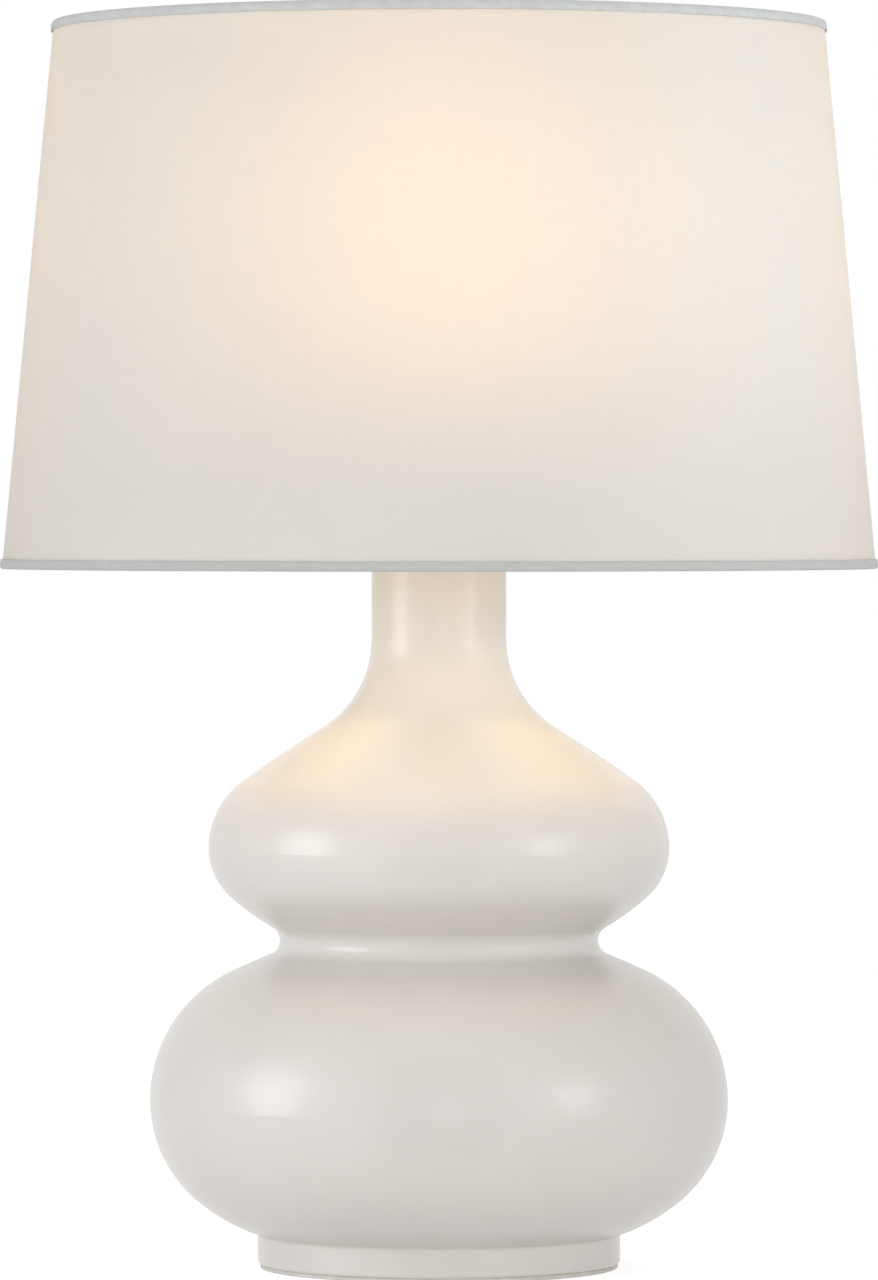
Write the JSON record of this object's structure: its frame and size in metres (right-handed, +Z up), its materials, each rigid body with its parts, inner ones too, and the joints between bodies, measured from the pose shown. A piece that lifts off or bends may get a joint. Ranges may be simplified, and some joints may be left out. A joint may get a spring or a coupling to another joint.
{
  "type": "table lamp",
  "caption": "Table lamp with a white glazed double gourd ceramic body and a tapered white linen drum shade on a harp.",
  "frame": {"origin": "centre of the felt under the foot, on the table", "axes": "+Z up along the lamp tube, -Y to the front with the switch knob, +Y to the cord outlet"},
  "size_m": [0.4614, 0.4614, 0.6553],
  "materials": {
    "felt": "pressed wool felt",
    "white_glaze": "glossy",
    "zinc_steel": "satin",
    "nickel": "brushed",
    "brass": "satin",
    "rubber": "matte",
    "nylon": "moulded",
    "fibre": "pressed",
    "phenolic": "moulded",
    "black_insulation": "extruded",
    "white_insulation": "extruded",
    "splice_nylon": "moulded",
    "cap_aluminium": "rolled",
    "cap_glass": "fused",
    "opal_glass": "frosted",
    "clear_glass": "clear",
    "filament": "drawn",
    "linen": "plain weave",
    "styrene": "sheet",
    "trim_cloth": "rolled",
    "white_wire": "powder coated"
  },
  "bodies": {
    "base": {"felt_pad": "felt", "ceramic_body": "white_glaze", "lamp_pipe": "zinc_steel", "bottom_washer": "zinc_steel", "bottom_lock_washer": "zinc_steel", "bottom_nut": "zinc_steel", "cord_gland": "nylon", "neck_gasket": "rubber", "neck_cap": "nickel", "cap_nut": "zinc_steel", "riser_neck": "nickel", "harp_saddle": "nickel", "socket_cap": "brass", "socket_set_screw": "zinc_steel", "socket_shell": "brass", "socket_liner": "fibre", "socket_insulator": "phenolic", "socket_screw_shell": "brass", "socket_center_contact": "brass", "terminal_screws": "brass", "live_wire": "black_insulation", "neutral_wire": "white_insulation", "wire_splices": "splice_nylon"},
    "switch": {"switch_shaft": "brass", "switch_knob": "phenolic"},
    "bulb": {"bulb_glass": "opal_glass", "bulb_screw_cap": "cap_aluminium", "bulb_insulator": "cap_glass", "bulb_tip_contact": "cap_aluminium", "bulb_stem": "clear_glass", "bulb_filament": "filament"},
    "harp": {"harp_wire": "nickel"},
    "sleeve_left": {"sleeve_left": "nickel"},
    "sleeve_right": {"sleeve_right": "nickel"},
    "stud": {"harp_swivel_stud": "nickel"},
    "shade": {"shade_linen": "linen", "shade_liner": "styrene", "shade_top_ring": "white_wire", "shade_bottom_ring": "white_wire", "shade_top_trim": "trim_cloth", "shade_bottom_trim": "trim_cloth", "shade_spider": "white_wire"},
    "finial": {"finial": "nickel"}
  },
  "joints": [
    {"name": "switch_turn", "type": "hinge", "parent": "base", "child": "switch", "pos_m": [0, -0.0299, 0.45005], "axis": [0, -1, 0], "continuous": true},
    {"name": "bulb_unscrew", "type": "slide", "parent": "base", "child": "bulb", "axis": [0, 0, 1], "range_m": [0, 0.03]},
    {"name": "harp_lift", "type": "slide", "parent": "base", "child": "harp", "axis": [0, 0, 1], "range_m": [0, 0.02]},
    {"name": "sleeve_left_lift", "type": "slide", "parent": "harp", "child": "sleeve_left", "axis": [0, 0, 1], "range_m": [0, 0.014]},
    {"name": "sleeve_right_lift", "type": "slide", "parent": "harp", "child": "sleeve_right", "axis": [0, 0, 1], "range_m": [0, 0.014]},
    {"name": "shade_swivel", "type": "hinge", "parent": "harp", "child": "stud", "pos_m": [0, 0, 0.62425], "axis": [0, 0, 1], "continuous": true},
    {"name": "shade_lift", "type": "slide", "parent": "stud", "child": "shade", "axis": [0, 0, 1], "range_m": [0, 0.28]},
    {"name": "finial_unscrew", "type": "slide", "parent": "shade", "child": "finial", "axis": [0, 0, 1], "range_m": [0, 0.02]}
  ]
}
